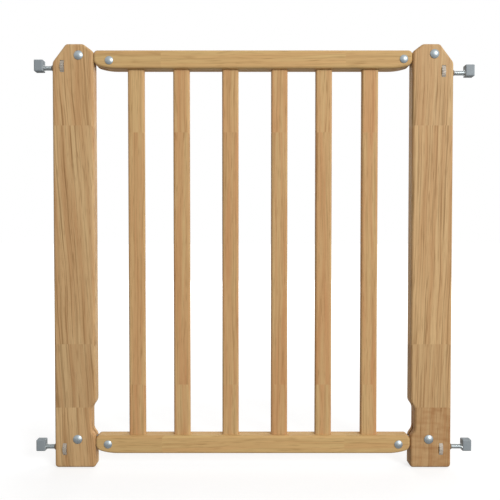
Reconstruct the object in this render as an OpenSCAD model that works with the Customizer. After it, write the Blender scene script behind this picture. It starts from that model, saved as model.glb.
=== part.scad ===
// Pressure-fit wooden baby gate.
// A barred panel hangs between two posts on four hidden steel links. Pressing the panel down
// takes the links past their dead centre and pushes the posts apart against the walls; lifting it
// folds the links and draws the posts in. Each post carries two screw feet with wall pads.
// Frame: X across the gate, -Y is the front, Z up from the floor. Millimetres.
// Corner order everywhere: 0 top left, 1 top right, 2 bottom left, 3 bottom right.

/* [Overall] */
// Height of the posts
gate_height = 750; // [650:10:850]
// Width over the outer faces of the two posts
gate_width = 705; // [640:5:800]
// Thickness of the posts and rails
board_thickness = 28; // [26:1:34]
// Rounding of the long edges of posts and rails
edge_radius = 4.5; // [2:0.5:6]

/* [Posts] */
// Width of each post
post_width = 72; // [68:1:84]
// Outer top corner cut, along the top
outer_cut_width = 24; // [21:3:27]
// Outer top corner cut, down the side
outer_cut_height = 32; // [28:4:36]
// Inner top corner cut, along the top
inner_cut_width = 18; // [16:2:24]
// Inner top corner cut, down the side
inner_cut_height = 13.5; // [12:1.5:18]
// Rounding where the outer corner cut meets the side
outer_cut_low_radius = 12; // [6:3:18]
// Rounding where the outer corner cut meets the top
outer_cut_top_radius = 7; // [6:0.5:10]
// Rounding of both ends of the inner corner cut
inner_cut_radius = 9; // [6:3:12]
// Rounding of the inner bottom corner
toe_radius = 5; // [4:0.5:10]
// Rounding of the outer bottom corner
heel_radius = 6; // [5:0.5:10]
// Depth of the notch in the inner edge
notch_depth = 7.5; // [6.9:0.3:9]
// Height of the notch, ramps included
notch_height = 60.5; // [58:0.5:80]
// Rounding of the notch's four corners
notch_radius = 15; // [6:3:15]
// How far the notch starts below the top of the bottom rail
notch_overlap = 1; // [0:0.5:4]

/* [Rails] */
// Height of each rail
rail_height = 32; // [30:1:44]
// Drop from the top of the posts to the top rail
top_rail_drop = 11; // [8:0.5:14]
// Height of the bottom rail's underside above the floor
bottom_rail_lift = 25; // [22:0.1:40]
// Length of the rising underside at each rail end
end_rise_length = 24; // [24:4.8:28.8]
// Height of the rising underside at each rail end
end_rise_height = 7; // [7:1.4:8.4]
// Rounding where the underside starts to rise
end_rise_radius = 105; // [35:7:105]
// Rounding of the lower corner of each rail end
end_lower_radius = 12; // [8:0.5:13]
// Rounding of the upper corner of each rail end
end_upper_radius = 7; // [6:0.5:8]
// Gap between a rail end and the post when clamped
rail_end_gap = 0.3; // [0.2:0.1:1]

/* [Balusters] */
// Width of a baluster
baluster_width = 29.2; // [20:0.1:34]
// Thickness of a baluster
baluster_thickness = 13; // [10:0.5:18]
// Corner radius of a baluster
baluster_radius = 4; // [1:0.5:4.5]
// Distance of the outer balusters' even places from the rail ends
outer_baluster_inset = 72.95; // [72:0.05:76]
// Side step of balusters 1 to 6 from the even spacing
baluster_steps = [0.2, -2.4, 1.4, 5.5, 1.3, 0.1]; // [-6:0.1:6]
// Depth of the mortises in the rails
mortise_depth = 12; // [8:0.5:18]
// Glue gap all round a baluster in its mortise
glue_gap = 0.15; // [0.1:0.05:0.4]

/* [Links] */
// Distance across between the bolts of a link when clamped
link_run = 53.7; // [50:0.1:58]
// Drop from the post bolt to the rail bolt when clamped
link_drop = 9; // [8:0.1:11]
// Width of a link
link_width = 16; // [13:0.5:17]
// Thickness of a link
link_thickness = 4; // [2:0.5:6]
// Gap between a link and the walls of its slot
link_side_gap = 0.3; // [0.2:0.05:0.6]
// Radial running clearance of a link eye on its bolt
eye_clearance = 0.06; // [0.02:0.01:0.1]
// Angle through which a link folds when the panel is lifted
fold_angle = 39.2; // [20:0.1:39.4]
// Distance of each post bolt from the inner face of its post, by corner
bolt_inset = [25.4, 37.9, 31, 32.2]; // [25:0.1:40]
// Height of each rail bolt above the middle of its rail, by corner
bolt_rise = [-2.4, 0, 1.1, 1]; // [-3:0.1:3]

/* [Bolts] */
// Outer diameter of a bolt's sleeve
sleeve_diameter = 8; // [7:0.5:9]
// Diameter of the screw inside the sleeve
screw_diameter = 5; // [4:0.5:6]
// Depth of the screw in the sleeve
screw_reach = 16; // [8:1:22]
// Diameter of the post bolt heads
post_head_diameter = 16; // [13:0.5:19]
// Diameter of the rail bolt heads
rail_head_diameter = 14.4; // [12:0.1:17]
// Height of the domed post bolt heads
post_head_height = 4; // [3:0.1:5]
// Height of the domed rail bolt heads
rail_head_height = 3.5; // [3:0.1:5]
// Thickness of the rim of the domed heads
head_rim = 1; // [0.6:0.1:1.6]
// Width across flats of the socket in the screw heads
socket_width = 4; // [3:0.5:5]
// Depth of the socket
socket_depth = 2.2; // [1:0.1:2.5]
// Radial clearance of bolts in their bores and of screws in their sleeves
bolt_clearance = 0.08; // [0.04:0.01:0.2]

/* [Feet] */
// Diameter of the threaded rods
rod_diameter = 8; // [7:0.5:9]
// Length of the threaded rods
rod_length = 72; // [71:0.5:73]
// Depth of a rod in its pad
rod_seat = 12; // [11:0.5:12.5]
// Depth of the rod bore in the post
rod_bore_depth = 54; // [53:0.5:55]
// Radial clearance of a rod in the post's bore
rod_bore_clearance = 0.5; // [0.3:0.1:1]
// Radial running clearance of a rod in its wheel and pad
thread_clearance = 0.06; // [0.03:0.01:0.1]
// Distance of each rod from the post's end (top rods from the top, bottom rods from the foot)
rod_height = [39.5, 48.1, 33.5, 33.7]; // [32:0.1:60]
// How far each wall pad stands off its post, by corner
pad_gap = [18, 22.8, 19.3, 22.7]; // [17:0.1:24]
// How far a foot screws in from rest
screw_in = 10; // [4:0.5:10]
// How far a foot screws out from rest
screw_out = 15; // [4:0.5:16]
// Length of a wall pad, out from the gate
pad_length = 17; // [14:0.1:22]
// Width of a wall pad, front to back
pad_width = 14; // [14:0.5:26]
// Height of a wall pad
pad_height = 21.2; // [21:0.1:28]
// Height of a pad's middle above its rod
pad_rise = 3.7; // [0:0.1:3.9]
// Rounding of a pad's edges
pad_radius = 3; // [0.5:0.1:3]
// Thickness of a jam nut, let into the inner face of its pad
jam_nut_thickness = 3; // [2:0.5:6]
// Width across flats of a jam nut
jam_nut_width = 11; // [10:0.5:11.5]
// Gap round a jam nut in its pad
jam_nut_gap = 0.05; // [0.02:0.01:0.1]
// Distance of an adjusting wheel's middle from the post's outer face
wheel_inset = 17.7; // [15:0.1:18]
// Thickness of an adjusting wheel
wheel_thickness = 6.5; // [4:0.1:8]
// Diameter of an adjusting wheel
wheel_diameter = 34; // [30:0.5:36]
// Number of grooves in a wheel's rim
wheel_grooves = 36; // [12:1:48]
// Radius of the grooves
groove_radius = 0.9; // [0.3:0.1:1.1]
// Gap between a wheel and the flat walls of its pocket
wheel_side_gap = 0.3; // [0.2:0.05:0.6]
// Gap between a wheel's rim and its pocket
wheel_rim_gap = 0.4; // [0.3:0.1:1]
// Diameter of a rod bush's nose where it meets the post
bush_nose_base = 14.5; // [13:0.5:18]
// Diameter of the nose's tip
bush_nose_tip = 10; // [9.8:0.1:13]
// Length of the nose outside the post
bush_nose_length = 4; // [1:0.5:5]
// Outer diameter of the bush inside the post
bush_diameter = 12; // [10.5:0.5:12]
// Length of the bush inside the post
bush_length = 9; // [5:0.5:12]
// Radial clearance of the rod in the bush
bush_clearance = 0.3; // [0.2:0.05:0.5]

/* [Hidden] */
$fn = 64;

OAK = [0.72, 0.57, 0.40];
PALE_OAK = [0.76, 0.61, 0.44];
STEEL = [0.66, 0.69, 0.72];
ZINC = [0.58, 0.60, 0.62];
GREY_RUBBER = [0.52, 0.55, 0.56];
TAN_PLASTIC = [0.62, 0.50, 0.38];

CORNERS = [0, 1, 2, 3];
LEFT = -1;
RIGHT = 1;
PAST = 1; // how far a cutting body runs past a face
BALUSTERS = 6;

// -1 for the left corners, 1 for the right ones
function side_of(corner) = corner % 2 == 0 ? LEFT : RIGHT;
function is_top(corner) = corner < 2;

// The two sides reach out unevenly, so the posts stand a little off the middle of the whole gate
function reach(side) = max([for (c = CORNERS) if (side_of(c) == side) pad_gap[c]]);
mid_x = (reach(LEFT) - reach(RIGHT)) / 2;

rail_length = gate_width - 2 * post_width - 2 * rail_end_gap;
rail_start = post_width + rail_end_gap;
top_rail_z = gate_height - top_rail_drop - rail_height;
function rail_z(corner) = is_top(corner) ? top_rail_z : bottom_rail_lift;
baluster_pitch = (rail_length - 2 * outer_baluster_inset) / (BALUSTERS - 1);

link_length = norm([link_run, link_drop]);
rest_angle = atan2(link_drop, link_run);
slot_width = link_thickness + 2 * link_side_gap;
sweep_margin = 1; // extra swing of the slots past each end of a link's travel, in degrees

// Bolt and rod places in a corner's own frame: u from the post's outer face inwards, and z
function post_bolt_at(c) = [post_width - bolt_inset[c],
                            rail_z(c) + rail_height / 2 + bolt_rise[c] + link_drop];
function rail_bolt_at(c) = post_bolt_at(c) + [link_run, -link_drop];
notch_ramp = notch_depth * 4 / 3; // each sloped end rises 4 for every 3 that it runs
function rod_z(c) = is_top(c) ? gate_height - rod_height[c] : rod_height[c];

// ---------- Frames and shared shapes ----------

// Children drawn with x from the post's outer face inwards land on the named side
module on_side(side) {
    translate([mid_x + side * gate_width / 2, 0, 0])
        mirror([side == RIGHT ? 1 : 0, 0, 0]) children();
}

// Children drawn with z outwards from their seat land at [u, z] with z towards the back
module across(at, y) {
    translate([at[0], y, at[1]]) rotate([-90, 0, 0]) children();
}

// Children drawn along z land along x at height z_at
module inward(z_at, from) {
    translate([from, 0, z_at]) rotate([0, 90, 0]) children();
}

// Rectangle centred on the origin with round corners
module round_rectangle(width, depth, radius) {
    square([width - 2 * radius, depth], center = true);
    square([width, depth - 2 * radius], center = true);
    for (x = [-1, 1], y = [-1, 1])
        translate([x * (width / 2 - radius), y * (depth / 2 - radius)]) circle(radius);
}

// Section of a board's edge: the edge face at x = 0 and the board reaching back to -back
module edge_section(back) {
    half = board_thickness / 2;
    translate([-back, -half]) square([back - edge_radius, board_thickness]);
    translate([-back, -half + edge_radius]) square([back, board_thickness - 2 * edge_radius]);
    for (y = [-1, 1]) translate([-edge_radius, y * (half - edge_radius)]) circle(edge_radius);
}

// All the board that lies behind the edge line from p to q, with that edge rounded over.
// Going round an outline counter-clockwise keeps the board on the left of each line.
module board_edge(p, q) {
    size = gate_height + gate_width;
    step = q - p;
    translate([p[0], 0, p[1]])
        rotate([0, -atan2(-step[0], step[1]), 0])
            translate([0, 0, -size])
                linear_extrude(2 * size) edge_section(size);
}

function unit(v) = v / norm(v);
function outward(p, q) = [unit(q - p)[1], -unit(q - p)[0]];

// Removes what lies beyond an arc of the given radius at corner v of an outline that runs from p
// through v to q. The rounded edge runs on round the arc.
module corner_cut(p, v, q, radius) {
    out_in = outward(p, v);
    out_on = outward(v, q);
    turn = acos(out_in * out_on);
    tangent = radius * tan(turn / 2);
    start = v - tangent * unit(v - p);
    end = v + tangent * unit(q - v);
    centre = start - radius * out_in;
    tip = v + PAST * (out_in + out_on) / (1 + out_in * out_on);
    difference() {
        rotate([90, 0, 0]) linear_extrude(2 * board_thickness, center = true)
            polygon([centre, start + PAST * out_in, tip, end + PAST * out_on]);
        translate([centre[0], 0, centre[1]]) rotate([90, 0, 0])
            rotate_extrude($fn = 2 * $fn) intersection() {
                translate([radius, 0]) edge_section(radius);
                translate([0, -board_thickness]) square([radius, 2 * board_thickness]);
            }
    }
}

// A board with a convex outline, its edges rounded over. The outline is given counter-clockwise
// as [[x, z], corner radius] pairs.
module rounded_board(outline) {
    count = len(outline);
    difference() {
        intersection_for (i = [0:count - 1])
            board_edge(outline[i][0], outline[(i + 1) % count][0]);
        for (i = [0:count - 1])
            corner_cut(outline[(i + count - 1) % count][0], outline[i][0],
                       outline[(i + 1) % count][0], outline[i][1]);
    }
}

// Outline swept by a link that swings about [x, z] between two directions
module swing(at, from_angle, to_angle, length) {
    half = link_width / 2 + link_side_gap;
    start = at + half * [sin(from_angle), -cos(from_angle)];
    end = at + half * [-sin(to_angle), cos(to_angle)];
    translate(at) circle(half);
    polygon([at, start, start + length * [cos(from_angle), sin(from_angle)],
             end + length * [cos(to_angle), sin(to_angle)], end]);
}

// Slot of the links' width through the middle of a board, from an [x, z] outline
module link_slot() {
    translate([0, slot_width / 2, 0]) rotate([90, 0, 0]) linear_extrude(slot_width) children();
}

// Bore from front to back
module cross_bore(at, diameter) {
    across(at, -board_thickness / 2 - PAST)
        cylinder(d = diameter + 2 * bolt_clearance, h = board_thickness + 2 * PAST);
}

// ---------- Posts ----------

// Space beyond the edge line from p to q of a board whose edges are rounded over
module beyond_edge(p, q) {
    step = q - p;
    translate([p[0], 0, p[1]])
        rotate([0, -atan2(-step[0], step[1]), 0])
            translate([0, 0, -gate_height])
                linear_extrude(2 * gate_height) difference() {
                    translate([-edge_radius, -board_thickness])
                        square([post_width, 2 * board_thickness]);
                    edge_section(post_width);
                }
}

// What stays of the board inside a hollow corner v between the edge lines from p and to q: its
// edge follows an arc of the given radius about a centre outside the board
module corner_fill(p, v, q, radius) {
    out_in = outward(p, v);
    out_on = outward(v, q);
    tangent = radius * tan(acos(out_in * out_on) / 2);
    start = v - tangent * unit(v - p);
    end = v + tangent * unit(q - v);
    centre = start + radius * out_in;
    depth = edge_radius + PAST;
    tip = v - depth * (out_in + out_on) / (1 + out_in * out_on);
    difference() {
        rotate([90, 0, 0]) linear_extrude(2 * board_thickness, center = true)
            polygon([centre, end - depth * out_on, tip, start - depth * out_in]);
        translate([centre[0], 0, centre[1]]) rotate([90, 0, 0])
            rotate_extrude($fn = 2 * $fn) difference() {
                translate([0, -board_thickness])
                    square([radius + edge_radius, 2 * board_thickness]);
                translate([radius, 0]) mirror([1, 0, 0]) edge_section(2 * edge_radius);
            }
    }
}

// The notch in the inner edge: all that lies beyond its floor and its two ramps, with its four
// corners rounded
module notch_cut() {
    low = [post_width, bottom_rail_lift + rail_height - notch_overlap];
    high = low + [0, notch_height];
    floor_low = low + [-notch_depth, notch_ramp];
    floor_high = high - [notch_depth, notch_ramp];
    difference() {
        intersection() {
            beyond_edge(low, floor_low);
            beyond_edge(floor_low, floor_high);
            beyond_edge(floor_high, high);
        }
        corner_fill(low, floor_low, floor_high, notch_radius);
        corner_fill(floor_low, floor_high, high, notch_radius);
    }
    corner_cut([post_width, 0], low, floor_low, notch_radius);
    corner_cut(floor_high, high, [post_width, gate_height], notch_radius);
}

// Cuts of one corner: link slot, bolt bore, rod bore, bush seat and the wheel's pocket
module corner_cuts(c) {
    link_slot() swing(post_bolt_at(c), -rest_angle - sweep_margin,
                      fold_angle - rest_angle + sweep_margin, post_width);
    cross_bore(post_bolt_at(c), sleeve_diameter);
    inward(rod_z(c), -PAST) cylinder(d = rod_diameter + 2 * rod_bore_clearance,
                                     h = rod_bore_depth + PAST);
    inward(rod_z(c), -PAST) cylinder(d = bush_diameter + 2 * bolt_clearance,
                                     h = bush_length + bolt_clearance + PAST);
    inward(rod_z(c), wheel_inset - wheel_thickness / 2 - wheel_side_gap)
        cylinder(d = wheel_diameter + 2 * wheel_rim_gap, h = wheel_thickness + 2 * wheel_side_gap,
                 $fn = 2 * $fn);
}

module post(side) {
    outline = [
        [[0, 0], heel_radius],
        [[post_width, 0], toe_radius],
        [[post_width, gate_height - inner_cut_height], inner_cut_radius],
        [[post_width - inner_cut_width, gate_height], inner_cut_radius],
        [[outer_cut_width, gate_height], outer_cut_top_radius],
        [[0, gate_height - outer_cut_height], outer_cut_low_radius]
    ];
    color(OAK) on_side(side) difference() {
        rounded_board(outline);
        notch_cut();
        for (c = CORNERS) if (side_of(c) == side) corner_cuts(c);
    }
}

// ---------- Panel ----------

function baluster_x(n) = mid_x + baluster_pitch * (n - (BALUSTERS + 1) / 2) + baluster_steps[n - 1];

module rail(corners, z) {
    start = mid_x - rail_length / 2;
    end = start + rail_length;
    top = z + rail_height;
    mortise_z = z < gate_height / 2 ? top - mortise_depth : z;
    outline = [
        [[start + end_rise_length, z], end_rise_radius],
        [[end - end_rise_length, z], end_rise_radius],
        [[end, z + end_rise_height], end_lower_radius],
        [[end, top], end_upper_radius],
        [[start, top], end_upper_radius],
        [[start, z + end_rise_height], end_lower_radius]
    ];
    color(PALE_OAK) difference() {
        rounded_board(outline);
        for (c = corners) on_side(side_of(c)) {
            link_slot() swing(rail_bolt_at(c), 180 - rest_angle - sweep_margin,
                              180 - rest_angle + fold_angle + sweep_margin, link_length);
            cross_bore(rail_bolt_at(c), sleeve_diameter);
        }
        for (n = [1:BALUSTERS])
            translate([baluster_x(n), 0, z < gate_height / 2 ? mortise_z : z - PAST])
                linear_extrude(mortise_depth + PAST)
                    round_rectangle(baluster_width + 2 * glue_gap,
                                    baluster_thickness + 2 * glue_gap,
                                    baluster_radius + glue_gap);
    }
}

module baluster(n) {
    foot = bottom_rail_lift + rail_height - mortise_depth + glue_gap;
    head = top_rail_z + mortise_depth - glue_gap;
    color(PALE_OAK) translate([baluster_x(n), 0, foot])
        linear_extrude(head - foot)
            round_rectangle(baluster_width, baluster_thickness, baluster_radius);
}

// ---------- Links and their bolts ----------

// Flat steel link with an eye at each end, laid from the post bolt to the rail bolt
module link(c) {
    color(STEEL) on_side(side_of(c))
        translate([post_bolt_at(c)[0], link_thickness / 2, post_bolt_at(c)[1]])
            rotate([90, rest_angle, 0]) difference() {
                linear_extrude(link_thickness) {
                    translate([0, -link_width / 2]) square([link_length, link_width]);
                    for (x = [0, link_length]) translate([x, 0]) circle(d = link_width);
                }
                for (x = [0, link_length]) translate([x, 0, -PAST])
                    cylinder(d = sleeve_diameter + 2 * eye_clearance, h = link_thickness + 2 * PAST);
            }
}

// Domed head of a bolt or screw, standing on z = 0 and reaching down
module domed_head(diameter, height) {
    crown = height - head_rim;
    ball = (pow(diameter / 2, 2) + pow(crown, 2)) / (2 * crown);
    translate([0, 0, -head_rim]) cylinder(d = diameter, h = head_rim);
    intersection() {
        translate([0, 0, ball - height]) sphere(ball);
        translate([0, 0, -height]) cylinder(d = diameter, h = crown);
    }
}

// Front half: domed head and a sleeve that runs through the board
module sleeve_bolt(c, at, diameter, height) {
    color(ZINC) on_side(side_of(c)) across(at, -board_thickness / 2) difference() {
        union() {
            domed_head(diameter, height);
            cylinder(d = sleeve_diameter, h = board_thickness - PAST);
        }
        translate([0, 0, board_thickness - screw_reach - PAST])
            cylinder(d = screw_diameter + 2 * bolt_clearance, h = screw_reach + PAST);
    }
}

// Back half: domed head with a hexagon socket, and the screw that enters the sleeve
module back_screw(c, at, diameter, height) {
    color(ZINC) on_side(side_of(c)) across(at, board_thickness / 2) mirror([0, 0, 1]) difference() {
        union() {
            domed_head(diameter, height);
            cylinder(d = screw_diameter, h = screw_reach - PAST);
        }
        translate([0, 0, -height - PAST])
            cylinder(d = socket_width / cos(30), h = socket_depth + PAST, $fn = 6);
    }
}

module post_bolt(c) sleeve_bolt(c, post_bolt_at(c), post_head_diameter, post_head_height);
module post_screw(c) back_screw(c, post_bolt_at(c), post_head_diameter, post_head_height);
module rail_bolt(c) sleeve_bolt(c, rail_bolt_at(c), rail_head_diameter, rail_head_height);
module rail_screw(c) back_screw(c, rail_bolt_at(c), rail_head_diameter, rail_head_height);

// ---------- Screw feet ----------

// Thumb wheel with a grooved rim: a round nut held in the post's pocket, reached from both faces
module adjusting_wheel(c) {
    color(STEEL) on_side(side_of(c)) inward(rod_z(c), wheel_inset - wheel_thickness / 2)
        difference() {
            linear_extrude(wheel_thickness) difference() {
                circle(d = wheel_diameter);
                for (n = [1:wheel_grooves]) rotate(n * 360 / wheel_grooves)
                    translate([wheel_diameter / 2, 0]) circle(groove_radius, $fn = 16);
            }
            translate([0, 0, -PAST])
                cylinder(d = rod_diameter + 2 * thread_clearance, h = wheel_thickness + 2 * PAST);
        }
}

// Guide for the rod in the mouth of its bore, with a short cone outside the post
module rod_bush(c) {
    color(TAN_PLASTIC) on_side(side_of(c)) inward(rod_z(c), 0) difference() {
        union() {
            translate([0, 0, -bush_nose_length])
                cylinder(d1 = bush_nose_tip, d2 = bush_nose_base, h = bush_nose_length);
            cylinder(d = bush_diameter, h = bush_length);
        }
        translate([0, 0, -bush_nose_length - PAST])
            cylinder(d = rod_diameter + 2 * bush_clearance,
                     h = bush_length + bush_nose_length + 2 * PAST);
    }
}

module threaded_rod(c) {
    color(ZINC) on_side(side_of(c)) inward(rod_z(c), -pad_gap[c] - rod_seat)
        cylinder(d = rod_diameter, h = rod_length);
}

// Hexagon of a jam nut, with two flats facing front and back
module nut_prism(width, thickness) {
    rotate(90) cylinder(d = width / cos(30), h = thickness, $fn = 6);
}

module jam_nut(c) {
    color(STEEL) on_side(side_of(c)) inward(rod_z(c), -pad_gap[c] - jam_nut_thickness)
        difference() {
            nut_prism(jam_nut_width, jam_nut_thickness);
            translate([0, 0, -PAST])
                cylinder(d = rod_diameter, h = jam_nut_thickness + 2 * PAST);
        }
}

module wall_pad(c) {
    middle = rod_z(c) + pad_rise;
    color(GREY_RUBBER) on_side(side_of(c)) difference() {
        translate([-pad_gap[c] - pad_length / 2, 0, middle]) intersection() {
            linear_extrude(pad_height, center = true)
                round_rectangle(pad_length, pad_width, pad_radius);
            rotate([90, 0, 0]) linear_extrude(pad_width, center = true)
                round_rectangle(pad_length, pad_height, pad_radius);
            rotate([0, 90, 0]) linear_extrude(pad_length, center = true)
                round_rectangle(pad_height, pad_width, pad_radius);
        }
        inward(rod_z(c), -pad_gap[c] - rod_seat - thread_clearance)
            cylinder(d = rod_diameter + 2 * thread_clearance, h = rod_seat + 2 * PAST);
        inward(rod_z(c), -pad_gap[c] - jam_nut_thickness - jam_nut_gap)
            nut_prism(jam_nut_width + 2 * jam_nut_gap, jam_nut_thickness + 2 * PAST);
    }
}

// ---------- Nodes ----------

module left_post() post(LEFT);
module right_post() post(RIGHT);
module top_rail() rail([0, 1], top_rail_z);
module bottom_rail() rail([2, 3], bottom_rail_lift);
module baluster_1() baluster(1);
module baluster_2() baluster(2);
module baluster_3() baluster(3);
module baluster_4() baluster(4);
module baluster_5() baluster(5);
module baluster_6() baluster(6);
module link_top_left() link(0);
module link_top_right() link(1);
module link_bottom_left() link(2);
module link_bottom_right() link(3);
module post_bolt_top_left() post_bolt(0);
module post_bolt_top_right() post_bolt(1);
module post_bolt_bottom_left() post_bolt(2);
module post_bolt_bottom_right() post_bolt(3);
module post_screw_top_left() post_screw(0);
module post_screw_top_right() post_screw(1);
module post_screw_bottom_left() post_screw(2);
module post_screw_bottom_right() post_screw(3);
module rail_bolt_top_left() rail_bolt(0);
module rail_bolt_top_right() rail_bolt(1);
module rail_bolt_bottom_left() rail_bolt(2);
module rail_bolt_bottom_right() rail_bolt(3);
module rail_screw_top_left() rail_screw(0);
module rail_screw_top_right() rail_screw(1);
module rail_screw_bottom_left() rail_screw(2);
module rail_screw_bottom_right() rail_screw(3);
module adjusting_wheel_top_left() adjusting_wheel(0);
module adjusting_wheel_top_right() adjusting_wheel(1);
module adjusting_wheel_bottom_left() adjusting_wheel(2);
module adjusting_wheel_bottom_right() adjusting_wheel(3);
module threaded_rod_top_left() threaded_rod(0);
module threaded_rod_top_right() threaded_rod(1);
module threaded_rod_bottom_left() threaded_rod(2);
module threaded_rod_bottom_right() threaded_rod(3);
module jam_nut_top_left() jam_nut(0);
module jam_nut_top_right() jam_nut(1);
module jam_nut_bottom_left() jam_nut(2);
module jam_nut_bottom_right() jam_nut(3);
module wall_pad_top_left() wall_pad(0);
module wall_pad_top_right() wall_pad(1);
module wall_pad_bottom_left() wall_pad(2);
module wall_pad_bottom_right() wall_pad(3);
module rod_bush_top_left() rod_bush(0);
module rod_bush_top_right() rod_bush(1);
module rod_bush_bottom_left() rod_bush(2);
module rod_bush_bottom_right() rod_bush(3);

left_post();
right_post();
top_rail();
bottom_rail();
baluster_1();
baluster_2();
baluster_3();
baluster_4();
baluster_5();
baluster_6();
link_top_left();
link_top_right();
link_bottom_left();
link_bottom_right();
post_bolt_top_left();
post_bolt_top_right();
post_bolt_bottom_left();
post_bolt_bottom_right();
post_screw_top_left();
post_screw_top_right();
post_screw_bottom_left();
post_screw_bottom_right();
rail_bolt_top_left();
rail_bolt_top_right();
rail_bolt_bottom_left();
rail_bolt_bottom_right();
rail_screw_top_left();
rail_screw_top_right();
rail_screw_bottom_left();
rail_screw_bottom_right();
adjusting_wheel_top_left();
adjusting_wheel_top_right();
adjusting_wheel_bottom_left();
adjusting_wheel_bottom_right();
threaded_rod_top_left();
threaded_rod_top_right();
threaded_rod_bottom_left();
threaded_rod_bottom_right();
jam_nut_top_left();
jam_nut_top_right();
jam_nut_bottom_left();
jam_nut_bottom_right();
wall_pad_top_left();
wall_pad_top_right();
wall_pad_bottom_left();
wall_pad_bottom_right();
rod_bush_top_left();
rod_bush_top_right();
rod_bush_bottom_left();
rod_bush_bottom_right();
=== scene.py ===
# %% [markdown]
# # A wooden safety gate, dressed piece by piece
# The solids of the gate already exist: two posts, a barred panel, links, bolts and screw feet.
# This lesson adds what solids leave out, which is how the wood, zinc and rubber look, and the
# screw threads. Everything is in metres and in the frame of the solids, with -Y as the front.

# %% Load the solids
import math
import bpy
import numpy as np
from mathutils import Matrix, Vector


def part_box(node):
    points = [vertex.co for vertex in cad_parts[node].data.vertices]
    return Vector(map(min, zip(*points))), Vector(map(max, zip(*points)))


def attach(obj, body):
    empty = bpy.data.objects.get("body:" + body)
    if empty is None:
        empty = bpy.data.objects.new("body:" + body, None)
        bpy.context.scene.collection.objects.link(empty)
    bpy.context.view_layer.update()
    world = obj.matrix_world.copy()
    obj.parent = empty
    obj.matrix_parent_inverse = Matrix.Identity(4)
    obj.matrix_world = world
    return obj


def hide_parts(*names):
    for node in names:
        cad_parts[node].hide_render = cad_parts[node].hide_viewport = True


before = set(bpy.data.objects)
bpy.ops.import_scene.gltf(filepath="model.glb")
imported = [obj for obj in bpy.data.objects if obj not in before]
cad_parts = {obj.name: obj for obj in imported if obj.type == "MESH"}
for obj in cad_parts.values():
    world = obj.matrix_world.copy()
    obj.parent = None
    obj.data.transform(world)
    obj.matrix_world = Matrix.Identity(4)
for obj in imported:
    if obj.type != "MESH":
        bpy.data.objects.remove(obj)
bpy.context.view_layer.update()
scene = bpy.context.scene

# %% [markdown]
# ## The camera
# A gate is best judged straight from the front, so the camera stands about a metre off at
# about half the gate's height and looks a little down. The lens is short, which makes the inner
# faces of both posts show. A Blender camera looks along its own -Z, so before it is turned it
# faces the floor. A quarter turn about X levels it, and a little less than that leaves the dip.

# %% Camera
CAMERA_PLACE = Vector((-0.0069, -1.0506, 0.4123))
CAMERA_DIP = 0.0234       # radians below level
SENSOR_MM = 36.0
LENS_TO_SENSOR = 1.1744   # focal length divided by the width of the sensor
QUARTER_TURN = math.pi / 2

camera_data = bpy.data.cameras.new("front_camera")
camera_data.sensor_width = SENSOR_MM
camera_data.lens = SENSOR_MM * LENS_TO_SENSOR
camera_data.dof.use_dof = False
camera = bpy.data.objects.new("front_camera", camera_data)
camera.matrix_world = (Matrix.Translation(CAMERA_PLACE)
                       @ Matrix.Rotation(QUARTER_TURN - CAMERA_DIP, 4, "X"))
scene.collection.objects.link(camera)
scene.camera = camera
print("lens mm:", round(camera_data.lens, 2))

# %% [markdown]
# ## Materials from nodes
# A material in Blender is a small graph: each node works something out and hands it on. One
# helper adds a node with its settings and links, so that a material reads as a list of steps.
# Colours are written as sRGB hex, as on a paint chart. Shaders work in linear light, so one
# function undoes the curve of sRGB.

# %% Colours and nodes
def linear(hex_colour):
    """sRGB hex to the linear numbers that shaders work in: the standard sRGB curve undone."""
    parts = np.array([int(hex_colour[i:i + 2], 16) for i in (1, 3, 5)]) / 255
    flat = np.where(parts <= 0.04045, parts / 12.92, ((parts + 0.055) / 1.055) ** 2.4)
    return tuple(float(p) for p in flat) + (1.0,)


def add(tree, kind, inputs=None, **settings):
    """Add one node, set its plain attributes, then fill or link its sockets by name or number."""
    node = tree.nodes.new(kind)
    for name, value in settings.items():
        setattr(node, name, value)
    for name, value in (inputs or {}).items():
        if isinstance(value, bpy.types.NodeSocket):
            tree.links.new(value, node.inputs[name])
        else:
            node.inputs[name].default_value = value
    return node


def new_material(name):
    """A material whose node tree is empty, ready for add()."""
    material = bpy.data.materials.new(name)
    material.use_nodes = True
    material.node_tree.nodes.clear()
    return material, material.node_tree


WHITE = linear("#ffffff")
scene.view_settings.view_transform = "Standard"
print("white in linear light:", WHITE)

# %% [markdown]
# ## The floor
# The gate stands on a plain floor that reaches far past it. The floor is grey to the light,
# which keeps the undersides and the inner faces as dark as they are in a studio where the
# white lies far below. To the camera it is lifted to white: fully white far off, and only just
# white where it is lit near the gate, so that it keeps the gate's soft shadow.

# %% Floor
FLOOR_HALF = 30.0
FLOOR_DROP = 0.0005       # keeps the floor just clear of the undersides of the posts
LIFT_NEAR = 0.72          # what the lit grey lacks of white
NEAR_UP_TO = 0.4          # the distance from the middle of the gate where the lift starts to grow
WHITE_FROM = 1.5          # and the distance where the floor is white by itself
MIRRORED_LIFT = 0.25      # the lift that metal and varnish see

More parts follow.
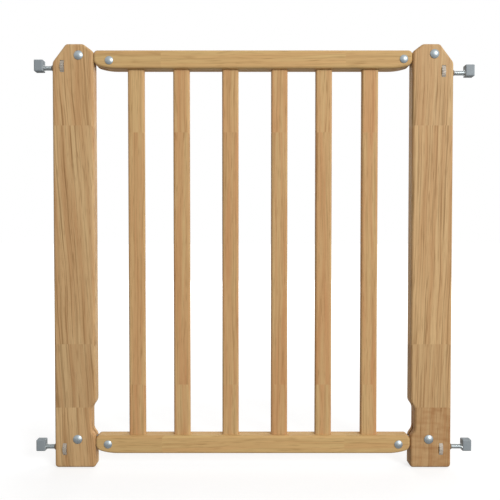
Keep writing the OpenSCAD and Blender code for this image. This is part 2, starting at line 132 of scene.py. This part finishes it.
floor_paint, tree = new_material("pale_studio_floor")
matt = add(tree, "ShaderNodeBsdfDiffuse", {"Color": linear("#9c9c9c")})
place = add(tree, "ShaderNodeTexCoord")
far_off = add(tree, "ShaderNodeVectorMath", {0: place.outputs["Object"]}, operation="LENGTH")
lift = add(tree, "ShaderNodeMapRange", {
    "Value": far_off.outputs["Value"], "From Min": NEAR_UP_TO, "From Max": WHITE_FROM,
    "To Min": LIFT_NEAR, "To Max": 1.0})
path = add(tree, "ShaderNodeLightPath")
eye = add(tree, "ShaderNodeMath", {0: path.outputs["Is Camera Ray"], 1: lift.outputs[0]},
          operation="MULTIPLY")
shown = add(tree, "ShaderNodeMath", {0: path.outputs["Is Glossy Ray"], 1: MIRRORED_LIFT,
                                     2: eye.outputs[0]}, operation="MULTIPLY_ADD")
glow = add(tree, "ShaderNodeEmission", {"Color": WHITE, "Strength": shown.outputs[0]})
lifted = add(tree, "ShaderNodeAddShader", {0: matt.outputs[0], 1: glow.outputs[0]})
add(tree, "ShaderNodeOutputMaterial", {"Surface": lifted.outputs[0]})

floor_corners = [(FLOOR_HALF * x, FLOOR_HALF * y, -FLOOR_DROP)
                 for x, y in ((-1, -1), (1, -1), (1, 1), (-1, 1))]
floor_mesh = bpy.data.meshes.new("studio_floor")
floor_mesh.from_pydata(floor_corners, [], [(0, 1, 2, 3)])
floor_mesh.materials.append(floor_paint)
floor = bpy.data.objects.new("studio_floor", floor_mesh)
scene.collection.objects.link(floor)
print("floor width m:", round(floor.dimensions.x))

# %% [markdown]
# ## World and lamps
# The world is white wherever it is seen, straight or mirrored, and a good deal weaker as a
# light, so that the lamps can model the wood. One large soft lamp stands in front on the right,
# and two weaker ones behind. One of these stands on the right and lights the inner face of the
# left post, and the other lights the back. Neither is ever mirrored, so the varnish gets no
# pale strips.

# %% World and lamps
AMBIENT = 0.44            # strength of the world as a light
LAMP_TARGET = Vector((0, 0, 0.4))     # near the middle of the gate

world = bpy.data.worlds.new("studio")
scene.world = world
world.use_nodes = True
tree = world.node_tree
tree.nodes.clear()
path = add(tree, "ShaderNodeLightPath")
seen = add(tree, "ShaderNodeMath", {0: path.outputs["Is Camera Ray"],
                                    1: path.outputs["Is Glossy Ray"]}, operation="MAXIMUM")
level = add(tree, "ShaderNodeMapRange", {"Value": seen.outputs[0], "To Min": AMBIENT,
                                         "To Max": 1.0})
sky = add(tree, "ShaderNodeBackground", {"Color": WHITE, "Strength": level.outputs[0]})
add(tree, "ShaderNodeOutputWorld", {"Surface": sky.outputs[0]})


def soft_lamp(name, place, size, watts, mirrored=True):
    """A square area lamp at place that faces the gate. Where it isn't mirrored, it lights the
    gate without showing in anything glossy."""
    data = bpy.data.lights.new(name, "AREA")
    data.size = size
    data.energy = watts
    lamp = bpy.data.objects.new(name, data)
    look = (LAMP_TARGET - Vector(place)).to_track_quat("-Z", "Y")
    lamp.matrix_world = Matrix.Translation(place) @ look.to_matrix().to_4x4()
    lamp.visible_glossy = mirrored
    scene.collection.objects.link(lamp)


soft_lamp("key_high_right", (2.6, -3.8, 2.2), size=1.8, watts=186)
soft_lamp("rear_fill", (3.4, 2.8, 1.4), size=2.5, watts=86, mirrored=False)
soft_lamp("back_fill", (-0.2, 4.2, 1.4), size=2.0, watts=80, mirrored=False)

# %% [markdown]
# ## Oak: the glued lengths
# The posts, rails and bars are oak, glued from short lengths with finger joints, sanded and
# given a clear satin varnish. The fingers of two lengths mesh in a zigzag that shows on the
# narrow side of a board, and both tone and figure start afresh at a joint. So a board is told
# by where its lengths end. Counting the joints behind a point gives the number of its length,
# and that number gives random values that are the same all over the length.

# %% Glued lengths
MM_IN_METRE = 1000
HALF_FINGER = 0.0035      # half the pitch of the zigzag
FINGER_SLOPE = 1.6        # how far a finger reaches along the grain, in halves of the pitch


def glued_lengths(tree, depth, along, ends, seed):
    """reach = along + slope * zigzag of depth. Returns reach and a white noise taken at the
    number of ends below reach, plus seed."""
    zigzag = add(tree, "ShaderNodeMath", {0: depth, 1: HALF_FINGER}, operation="PINGPONG")
    reach = add(tree, "ShaderNodeMath", {0: zigzag.outputs[0], 1: FINGER_SLOPE, 2: along},
                operation="MULTIPLY_ADD").outputs[0]
    length_number = seed
    for end in ends:
        beyond = add(tree, "ShaderNodeMath", {0: reach, 1: end}, operation="GREATER_THAN")
        length_number = add(tree, "ShaderNodeMath", {0: beyond.outputs[0], 1: length_number},
                            operation="ADD").outputs[0]
    chance = add(tree, "ShaderNodeTexWhiteNoise", {"W": length_number}, noise_dimensions="1D")
    return reach, chance


print("finger length mm:", round(MM_IN_METRE * HALF_FINGER * FINGER_SLOPE, 1))

# %% [markdown]
# ## Oak: streaks
# Everything that is drawn on oak is a streak of some kind, and a streak is a noise that is
# stretched, nearly always along the grain. Its three numbers are how many streaks there are in
# a metre across the face, through the thickness and along the grain. All of it is worked out
# from the place of a point in the board, so the figure runs round the edges as in real wood.
# The grain leans a little against the edges of the board, and each length is cut from another
# part of the tree, so a point is first turned by the lean and moved far off by the random
# values of its length.

# %% Streaks
LENGTH_SPREAD = (3, 3, 3)          # how far apart in the noise the lengths can lie, in metres
WANDER_PER_METRE = (14, 14, 5)     # a slow wander bends the streaks over 200 mm or so
WANDER_WIDTH = (0.013, 0.013, 0)   # by about 3 mm to each side


def stretched_noise(tree, place, per_metre, detail, roughness=0.5):
    """The outputs of a noise with per_metre streaks to the metre in each direction."""
    scaled = add(tree, "ShaderNodeMapping", {"Vector": place, "Scale": per_metre})
    return add(tree, "ShaderNodeTexNoise", {"Vector": scaled.outputs[0], "Scale": 1.0,
                                            "Detail": detail, "Roughness": roughness}).outputs


def streaks(tree, place, per_metre, detail, roughness, start, full, low=0.0, high=1.0):
    """low where the stretched noise is under start, rising to high where it is over full."""
    noise = stretched_noise(tree, place, per_metre, detail, roughness)
    return add(tree, "ShaderNodeMapRange", {
        "Value": noise["Fac"], "From Min": start, "From Max": full, "To Min": low,
        "To Max": high}).outputs[0]


def figure_places(tree, straight, lean, chance):
    """own = straight turned by lean + spread * chance, and bent = own + width * wander."""
    leaning = add(tree, "ShaderNodeMapping", {"Vector": straight, "Rotation": (0, lean, 0)})
    own = add(tree, "ShaderNodeVectorMath", {0: chance.outputs["Color"], 1: LENGTH_SPREAD,
                                             2: leaning.outputs[0]},
              operation="MULTIPLY_ADD").outputs[0]
    wander = stretched_noise(tree, own, WANDER_PER_METRE, detail=1.0)
    bent = add(tree, "ShaderNodeVectorMath", {0: wander["Color"], 1: WANDER_WIDTH, 2: own},
               operation="MULTIPLY_ADD").outputs[0]
    return own, bent


print("streaks bend over mm:", round(MM_IN_METRE / WANDER_PER_METRE[2]))

# %% [markdown]
# ## Oak: colour
# Broad bands turn the ground from straw yellow to pinkish brown. Dark growth lines run along it
# and come in groups, and pores are short dark dashes between them. Beside a knot the lines are
# faint, and redder waves run across the grain instead. Each kind is mixed over the ones before
# it, as thin glazes would be.

# %% Colour of oak
BANDS = (120, 60, 4)           # about 8 mm wide and 250 mm long
GROWTH_LINES = (360, 100, 4)   # about 3 mm apart and 250 mm long
WAVES = (34, 30, 105)          # about 30 mm long across the grain and 10 mm apart along it
KNOT_TONE = "#8a5428"          # the redder dark of wood beside a knot
LINES_BY_KNOT = 0.45           # the share of the growth lines that is left there
# the inputs and the output of a Mix node that is set to colours
FACTOR, FIRST, SECOND = 0, 6, 7
MIXED = 2


def oak_colour(tree, bent, near_knot, pore, tones, lines):
    """Ground, growth lines, pores and waves, each mixed over the last."""
    straw, pink, dark = (linear(tone) for tone in tones)
    band = streaks(tree, bent, BANDS, detail=2.0, roughness=0.55, start=0.32, full=0.68)
    ground = add(tree, "ShaderNodeMix", {FACTOR: band, FIRST: straw, SECOND: pink},
                 data_type="RGBA")
    line = streaks(tree, bent, GROWTH_LINES, detail=1.5, roughness=0.6, start=0.52, full=0.74,
                   high=lines)
    share = add(tree, "ShaderNodeMath", {0: near_knot, 1: LINES_BY_KNOT - 1, 2: 1.0},
                operation="MULTIPLY_ADD")
    shown_line = add(tree, "ShaderNodeMath", {0: line, 1: share.outputs[0]},
                     operation="MULTIPLY")
    lined = add(tree, "ShaderNodeMix", {FACTOR: shown_line.outputs[0],
                                        FIRST: ground.outputs[MIXED], SECOND: dark},
                data_type="RGBA")
    pored = add(tree, "ShaderNodeMix", {FACTOR: pore, FIRST: lined.outputs[MIXED],
                                        SECOND: dark}, data_type="RGBA")
    wave = streaks(tree, bent, WAVES, detail=1.5, roughness=0.5, start=0.42, full=0.72,
                   low=0.2, high=0.5)
    shown_wave = add(tree, "ShaderNodeMath", {0: wave, 1: near_knot}, operation="MULTIPLY")
    waved = add(tree, "ShaderNodeMix", {FACTOR: shown_wave.outputs[0],
                                        FIRST: pored.outputs[MIXED],
                                        SECOND: linear(KNOT_TONE)}, data_type="RGBA")
    return waved.outputs[MIXED]


print("growth lines mm apart:", round(MM_IN_METRE / GROWTH_LINES[0], 1))

# %% [markdown]
# ## Oak: the varnished board
# The varnish is thin and satin. It fills most of the grain and sinks into the pores, so these
# stay as shallow hollows that shine less. A real pore is about a third of a millimetre wide and
# a fibre far finer, which is too fine to show from a metre off, so both are drawn coarser. Each
# length is a little lighter or darker than the next, and so is each fibre.

# %% Varnished board
PORES = (640, 640, 26)         # about 1.6 mm apart and 40 mm long
FIBRES = (1500, 1500, 20)      # about 0.7 mm apart and 50 mm long
PORE_WEIGHT = 1.4              # how much more a pore counts in the hollows than a fibre does
HOLLOW_DEPTH = 0.0002
SATIN = 0.44                   # roughness of the varnish over sound wood
SUNK_IN = 0.7                  # and what it goes towards in the pores
VARNISH_IOR = 1.45
VARNISH_SHINE = 0.1            # thin varnish over open grain mirrors little


def oak_board(name, grain_turn, lean, ends, tones, lines, seed, rippled_below=-1.0):
    """Varnished finger-jointed oak. grain_turn lays the grain along Z (0) or along X (a quarter
    turn), lean is its slope, ends are the places of the joints along the grain, tones are its
    straw, pink and dark, lines is the strength of the growth lines, seed picks the figure, and
    rippled_below is where a length cut beside a knot ends."""
    material, tree = new_material(name)
    place = add(tree, "ShaderNodeTexCoord")
    straight = add(tree, "ShaderNodeMapping", {"Vector": place.outputs["Object"],
                                               "Rotation": (0, grain_turn, 0)})
    _, depth, along = add(tree, "ShaderNodeSeparateXYZ", {0: straight.outputs[0]}).outputs
    reach, chance = glued_lengths(tree, depth, along, ends, seed)
    own, bent = figure_places(tree, straight.outputs[0], lean, chance)
    near_knot = add(tree, "ShaderNodeMath", {0: reach, 1: rippled_below},
                    operation="LESS_THAN").outputs[0]

    pore = streaks(tree, bent, PORES, detail=1.0, roughness=0.5, start=0.56, full=0.78, high=0.5)
    fibres = stretched_noise(tree, own, FIBRES, detail=2.0, roughness=0.6)["Fac"]
    tint = add(tree, "ShaderNodeMapRange", {"Value": chance.outputs["Value"], "To Min": 0.95,
                                            "To Max": 1.05})
    grain = add(tree, "ShaderNodeMapRange", {"Value": fibres, "From Min": 0.3, "From Max": 0.7,
                                             "To Min": 0.94, "To Max": 1.06})
    light = add(tree, "ShaderNodeMath", {0: tint.outputs[0], 1: grain.outputs[0]},
                operation="MULTIPLY")
    colour = add(tree, "ShaderNodeHueSaturation", {
        "Color": oak_colour(tree, bent, near_knot, pore, tones, lines),
        "Value": light.outputs[0]})

    height = add(tree, "ShaderNodeMath", {0: pore, 1: -PORE_WEIGHT, 2: fibres},
                 operation="MULTIPLY_ADD")
    bump = add(tree, "ShaderNodeBump", {"Height": height.outputs[0], "Strength": 0.3,
                                        "Distance": HOLLOW_DEPTH})
    sheen = add(tree, "ShaderNodeMapRange", {"Value": pore, "To Min": SATIN, "To Max": SUNK_IN})
    wood = add(tree, "ShaderNodeBsdfPrincipled", {
        "Base Color": colour.outputs[0], "Roughness": sheen.outputs[0],
        "Normal": bump.outputs[0], "IOR": VARNISH_IOR, "Specular IOR Level": VARNISH_SHINE})
    add(tree, "ShaderNodeOutputMaterial", {"Surface": wood.outputs[0]})
    return material


print("pores mm apart:", round(MM_IN_METRE / PORES[0], 1))

# %% [markdown]
# ## The boards of this gate
# The joints of both posts lie at the same heights, as they do where boards are sawn side by
# side from one glued plank. The figure of each is its own, and the lowest length of the right
# post was cut beside a knot. The two rails share one material and the six bars another. They
# lie in different places, so each still gets its own stretch of figure.

# %% Boards
POST_JOINTS = (0.108, 0.221, 0.607)
RAIL_JOINTS = (-0.161, 0.1635)    # from the middle of the gate, positive to the left
BAR_JOINTS = (0.148, 0.597)
# straw, pink and dark tone of each kind of board
POST_TONES = ("#cbaa7c", "#ba9266", "#7d5a32")
RAIL_TONES = ("#c8a873", "#c69f6c", "#8a6538")
BAR_TONES = ("#c8a675", "#c29264", "#8a6438")


def finish_with(material, *nodes):
    """Put one material on whole solids."""
    for node in nodes:
        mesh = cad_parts[node].data
        mesh.materials.clear()
        mesh.materials.append(material)


left_oak = oak_board("varnished_oak_left_post", grain_turn=0, lean=0.06, ends=POST_JOINTS,
                     tones=POST_TONES, lines=0.65, seed=3)
right_oak = oak_board("varnished_oak_right_post", grain_turn=0, lean=-0.035, ends=POST_JOINTS,
                      tones=POST_TONES, lines=0.8, seed=11, rippled_below=POST_JOINTS[0])
rail_oak = oak_board("varnished_oak_rails", grain_turn=QUARTER_TURN, lean=0.01,
                     ends=RAIL_JOINTS, tones=RAIL_TONES, lines=0.3, seed=5)
bar_oak = oak_board("varnished_oak_bars", grain_turn=0, lean=0, ends=BAR_JOINTS,
                    tones=BAR_TONES, lines=0.45, seed=8)
finish_with(left_oak, "left_post")
finish_with(right_oak, "right_post")
finish_with(rail_oak, "top_rail", "bottom_rail")
finish_with(bar_oak, *[f"baluster_{n}" for n in range(1, 7)])
print("nodes in the oak of the bars:", len(bar_oak.node_tree.nodes))

# %% [markdown]
# ## Zinc and steel
# The domed bolt heads are zinc plate over steel: a bluish grey metal with a soft highlight. The
# jam nuts are plated brighter and smoother, and the wheels duller and warmer. The links are
# plain rolled steel. The plating bath and the rolls leave faint cloudy patches a few
# millimetres wide, which show only as more or less shine, so they go into the roughness.

# %% Zinc and steel
CORNERS = ["top_left", "top_right", "bottom_left", "bottom_right"]


def clouded_metal(name, colour, roughness, cloud_mm):
    """Metal whose roughness drifts about its mean from one cloudy patch to the next."""
    material, tree = new_material(name)
    place = add(tree, "ShaderNodeTexCoord").outputs["Object"]
    clouds = add(tree, "ShaderNodeTexNoise", {"Vector": place, "Scale": MM_IN_METRE / cloud_mm,
                                              "Detail": 3.0, "Roughness": 0.6})
    rough = add(tree, "ShaderNodeMapRange", {"Value": clouds.outputs["Fac"], "From Min": 0.3,
                                             "From Max": 0.7, "To Min": roughness * 0.85,
                                             "To Max": roughness * 1.2})
    metal = add(tree, "ShaderNodeBsdfPrincipled", {
        "Base Color": linear(colour), "Metallic": 1.0, "Roughness": rough.outputs[0]})
    add(tree, "ShaderNodeOutputMaterial", {"Surface": metal.outputs[0]})
    return material


bright_zinc = clouded_metal("bright_zinc_plated_bolts", "#a2abaf", roughness=0.45, cloud_mm=4.0)
dull_zinc = clouded_metal("dull_zinc_plated_wheels", "#b3aba0", roughness=0.68, cloud_mm=4.0)
nut_zinc = clouded_metal("zinc_plated_jam_nuts", "#d2d6d6", roughness=0.35, cloud_mm=2.5)
rolled_steel = clouded_metal("rolled_steel_links", "#9a9c9e", roughness=0.4, cloud_mm=4.0)
for corner in CORNERS:
    finish_with(bright_zinc, f"post_bolt_{corner}", f"post_screw_{corner}",
                f"rail_bolt_{corner}", f"rail_screw_{corner}")
    finish_with(dull_zinc, f"adjusting_wheel_{corner}")
    finish_with(nut_zinc, f"jam_nut_{corner}")
    finish_with(rolled_steel, f"link_{corner}")
print("pieces in bright zinc:", bright_zinc.users)

# %% [markdown]
# ## Rubber and nylon
# The wall pads are grey rubber from a mould, matt, and the bushes are brown nylon, a little
# smoother. A mould leaves a fine grain, which the eye takes as tone and as height, so one noise
# drives both. Its depth is a tenth or two of a millimetre.

# %% Rubber and nylon
def moulding(name, colour, shade, roughness, grain_mm, grain_depth):
    """Colour and shade mixed by a fine grain, and the same grain as height."""
    material, tree = new_material(name)
    place = add(tree, "ShaderNodeTexCoord").outputs["Object"]
    grain = add(tree, "ShaderNodeTexNoise", {"Vector": place, "Scale": MM_IN_METRE / grain_mm,
                                             "Detail": 3.0, "Roughness": 0.6})
    spread = add(tree, "ShaderNodeMapRange", {"Value": grain.outputs["Fac"], "From Min": 0.35,
                                              "From Max": 0.65})
    mixed = add(tree, "ShaderNodeMix", {FACTOR: spread.outputs[0], FIRST: linear(colour),
                                        SECOND: linear(shade)}, data_type="RGBA")
    bump = add(tree, "ShaderNodeBump", {"Height": grain.outputs["Fac"], "Strength": 0.4,
                                        "Distance": grain_depth})
    body = add(tree, "ShaderNodeBsdfPrincipled", {
        "Base Color": mixed.outputs[MIXED], "Roughness": roughness, "Normal": bump.outputs[0],
        "IOR": 1.5})
    add(tree, "ShaderNodeOutputMaterial", {"Surface": body.outputs[0]})
    return material


pad_rubber = moulding("grey_moulded_rubber", "#8c9498", "#81898e", roughness=0.6, grain_mm=1.2,
                      grain_depth=0.0002)
bush_nylon = moulding("brown_nylon", "#7d6549", "#6f583e", roughness=0.45, grain_mm=0.8,
                      grain_depth=0.0001)
for corner in CORNERS:
    finish_with(pad_rubber, f"wall_pad_{corner}")
    finish_with(bush_nylon, f"rod_bush_{corner}")
print("pads and bushes:", pad_rubber.users + bush_nylon.users)

# %% [markdown]
# ## Screw threads
# The solid rods are plain cylinders. A real one carries a rolled thread, and its ridges catch
# the light in the gap between post and pad. A thread is a cylinder whose radius depends
# on both the turn and the distance: one full turn moves the ridge along by one pitch. That is
# a surface over two parameters, so it is worked out as whole arrays.

# %% Threaded rods
PITCH = 0.00125
THREAD_DEPTH = 0.0006
CHAMFER = 0.001           # the length at each end over which the thread runs out to its root
FLANK_SLOPE = 2.2         # rise of a flank, which leaves crests nearly half a pitch wide
RINGS_PER_PITCH = 8
POINTS_ROUND = 32


def tube_mesh(name, rings):
    """Mesh from an array of rings, shape (rings, points, 3), closed round and capped."""
    ring_count, point_count, _ = rings.shape
    index = np.arange(ring_count * point_count).reshape(ring_count, point_count)
    here, beside = index[:-1], np.roll(index, -1, axis=1)[:-1]
    above, above_beside = index[1:], np.roll(index, -1, axis=1)[1:]
    quads = np.stack([here, beside, above_beside, above], axis=-1).reshape(-1, 4)
    caps = [index[0, ::-1].tolist(), index[-1].tolist()]
    mesh = bpy.data.meshes.new(name)
    mesh.from_pydata(rings.reshape(-1, 3).tolist(), [], quads.tolist() + caps)
    mesh.update()
    return mesh


def threaded_rod(corner):
    """radius(turn, distance) = crest - depth * wave of (distance / pitch - turn). The wave is a
    zigzag cut flat at 0, which makes the broad crests, and at 1, the narrow roots."""
    low, high = (np.array(v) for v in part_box(f"threaded_rod_{corner}"))
    middle = (low + high) / 2
    crest = (high[2] - low[2]) / 2
    pitches = int(round((high[0] - low[0]) / PITCH))
    distance = np.linspace(low[0], high[0], pitches * RINGS_PER_PITCH + 1)
    turn = np.linspace(0, 1, POINTS_ROUND, endpoint=False)
    along, turns = np.meshgrid(distance, turn, indexing="ij")
    zigzag = np.abs(2 * np.mod((along - low[0]) / PITCH - turns, 1) - 1)
    wave = np.clip(FLANK_SLOPE * zigzag - 1, 0, 1)
    lead_in = np.minimum(along - low[0], high[0] - along) / CHAMFER
    radius = crest - THREAD_DEPTH * np.maximum(wave, 1 - np.clip(lead_in, 0, 1))
    angle = 2 * np.pi * turns
    rings = np.stack([along, middle[1] + radius * np.cos(angle),
                      middle[2] + radius * np.sin(angle)], axis=-1)
    piece = bpy.data.objects.new(f"thread_{corner}", tube_mesh(f"thread_{corner}", rings))
    scene.collection.objects.link(piece)
    return piece


rod_zinc = clouded_metal("zinc_plated_thread", "#b3babc", roughness=0.38, cloud_mm=1.5)
for corner in CORNERS:
    rod = threaded_rod(corner)
    rod.data.materials.append(rod_zinc)
    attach(rod, f"foot_{corner}")
    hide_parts(f"threaded_rod_{corner}")
print("thread faces each:", len(rod.data.polygons))
